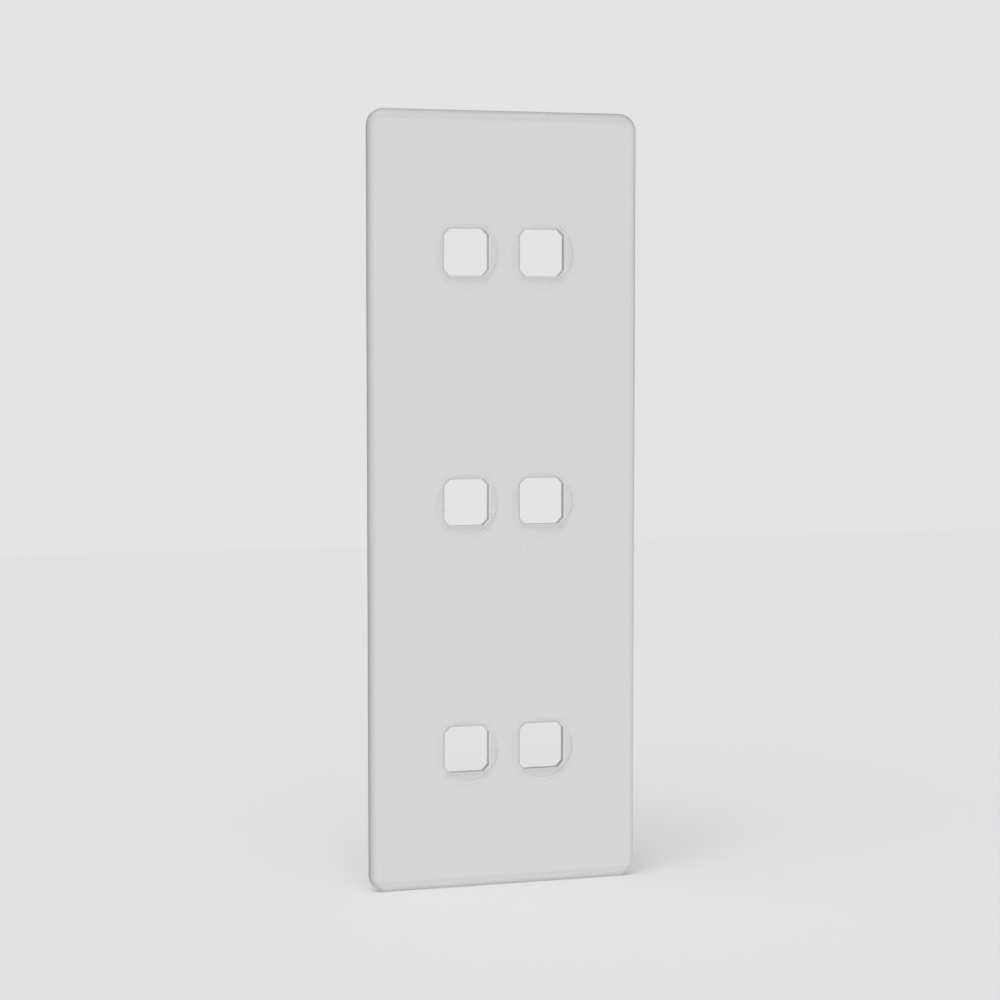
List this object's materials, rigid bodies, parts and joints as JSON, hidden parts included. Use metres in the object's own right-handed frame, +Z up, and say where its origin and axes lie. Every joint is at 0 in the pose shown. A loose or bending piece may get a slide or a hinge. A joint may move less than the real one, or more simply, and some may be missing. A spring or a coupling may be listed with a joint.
{
  "type": "switch plate",
  "caption": "Tall thin rectangular wall plate of frosted acrylic with a soft front edge and square, corner-cut openings, each in a shallow round seat for a switch collar.",
  "frame": {"origin": "centre of the flat back face, where the plate lies on the wall", "axes": "+Z up along the plate's height, +X to the right seen from the front, +Y into the wall, so the front looks towards -Y"},
  "size_m": [0.08, 0.0025, 0.222],
  "materials": {
    "frosted_acrylic": "clear acrylic frosted on both faces, translucent, pale grey"
  },
  "bodies": {
    "root": {"switch_plate": "frosted_acrylic"}
  },
  "joints": []
}
